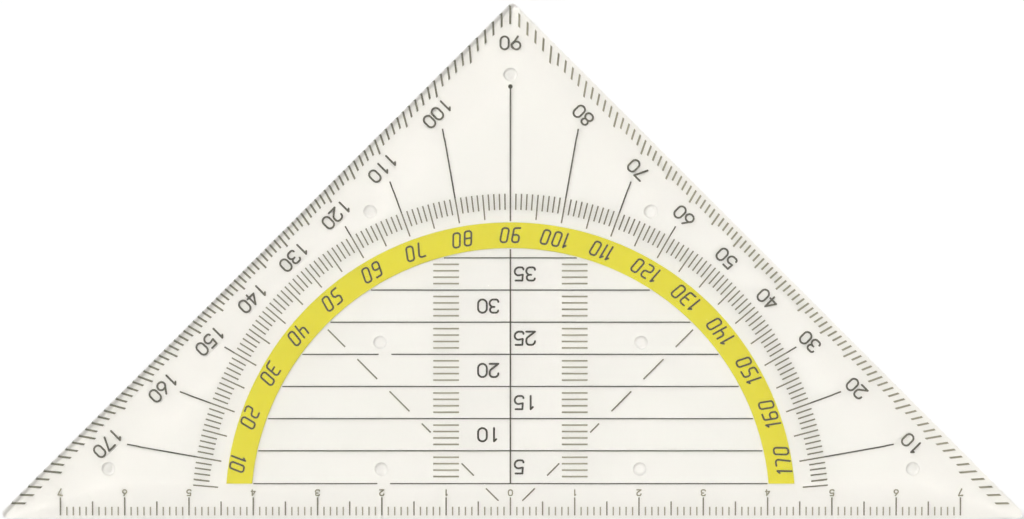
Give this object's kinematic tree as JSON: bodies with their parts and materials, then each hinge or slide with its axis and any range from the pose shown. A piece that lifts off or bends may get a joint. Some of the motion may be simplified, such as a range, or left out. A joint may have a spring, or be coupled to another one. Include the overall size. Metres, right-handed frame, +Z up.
{
  "type": "protractor set square",
  "caption": "Flat clear right-angled drawing triangle with bevelled edges, a printed protractor, degree marks and a ruling scale.",
  "frame": {"origin": "middle of the long ruling edge, on the printed underside, beside the scale's zero mark", "axes": "+X along the ruling edge, +Y towards the right-angled corner, +Z up from the printed underside to the plain top"},
  "size_m": [0.1586, 0.08, 0.0022],
  "materials": {
    "clear_plastic": "clear, polished",
    "yellow_ink": "screen-printed ink",
    "dark_ink": "screen-printed ink"
  },
  "bodies": {
    "root": {"plate": "clear_plastic", "yellow_degree_band": "yellow_ink", "band_degree_numerals": "dark_ink", "degree_ring_marks": "dark_ink", "degree_ring_fives": "dark_ink", "degree_rays": "dark_ink", "outer_degree_numerals": "dark_ink", "right_leg_degree_marks": "dark_ink", "left_leg_degree_marks": "dark_ink", "apex_degree_mark": "dark_ink", "millimetre_marks": "dark_ink", "half_centimetre_marks": "dark_ink", "centimetre_marks": "dark_ink", "centimetre_numerals": "dark_ink", "parallel_lines": "dark_ink", "parallel_numerals": "dark_ink", "right_millimetre_ladder": "dark_ink", "left_millimetre_ladder": "dark_ink", "right_diagonal_dashes": "dark_ink", "left_diagonal_dashes": "dark_ink", "centre_line": "dark_ink", "centre_dot": "dark_ink"}
  },
  "joints": []
}
